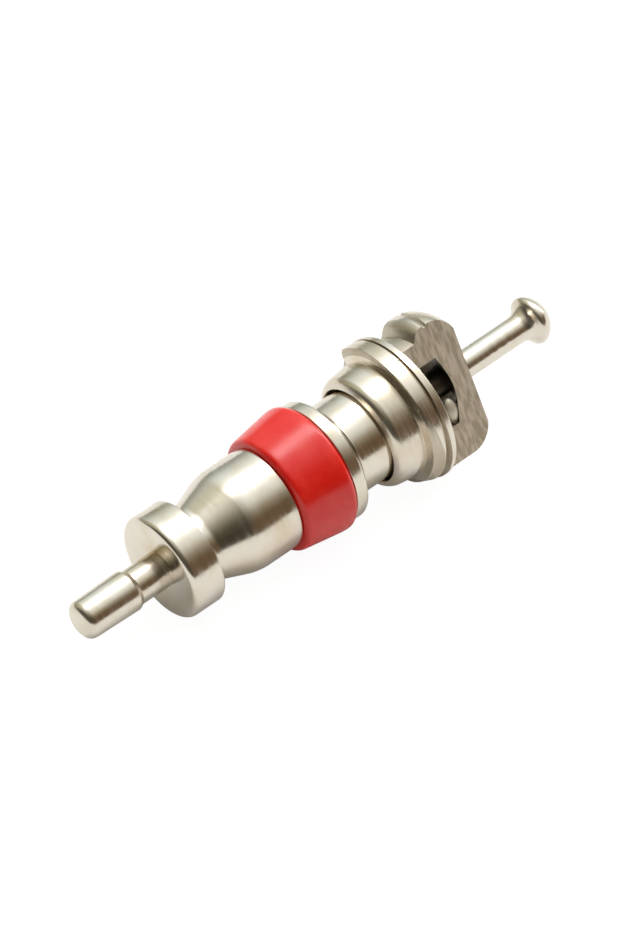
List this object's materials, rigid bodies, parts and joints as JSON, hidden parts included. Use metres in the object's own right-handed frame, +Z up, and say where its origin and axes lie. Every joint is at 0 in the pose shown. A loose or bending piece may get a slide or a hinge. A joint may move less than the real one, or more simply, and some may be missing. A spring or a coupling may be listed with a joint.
{
  "type": "tyre valve core",
  "caption": "Short spring-loaded core of a tyre valve: a threaded plug that swivels on a barrel with a red sealing ring, and a sprung pin with a sealing cup. It screws into a valve stem.",
  "frame": {"origin": "on the surface that the core lies on, under the middle of its length", "axes": "+X from the nose towards the pin's head, +Z up; the core's own axis lies in XZ and rises towards the head by about 4.7 degrees"},
  "size_m": [0.0198, 0.0052, 0.0053],
  "materials": {
    "plug_nickel": "nickel plated, turned and milled",
    "barrel_nickel": "nickel plated, turned bright",
    "red_rubber": "moulded, satin",
    "pin_nickel": "nickel plated, drawn and staked",
    "spring_steel": "drawn wire",
    "cup_nickel": "nickel plated, pressed",
    "black_rubber": "moulded, matte"
  },
  "bodies": {
    "plug": {"plug": "plug_nickel"},
    "barrel": {"barrel": "barrel_nickel", "barrel_gasket": "red_rubber", "spring": "spring_steel"},
    "pin": {"pin": "pin_nickel", "cup": "cup_nickel", "cup_gasket": "black_rubber"}
  },
  "joints": [
    {"name": "plug_swivel", "type": "hinge", "parent": "plug", "child": "barrel", "pos_m": [0.00239, 0, 0.00255], "axis": [0.9967, 0, 0.0813], "continuous": true},
    {"name": "pin_press", "type": "slide", "parent": "barrel", "child": "pin", "axis": [-0.9967, 0, -0.0813], "range_m": [0, 0.002], "stiffness_N_per_m": 800, "springref_m": -0.002, "deforming": ["spring"]}
  ]
}
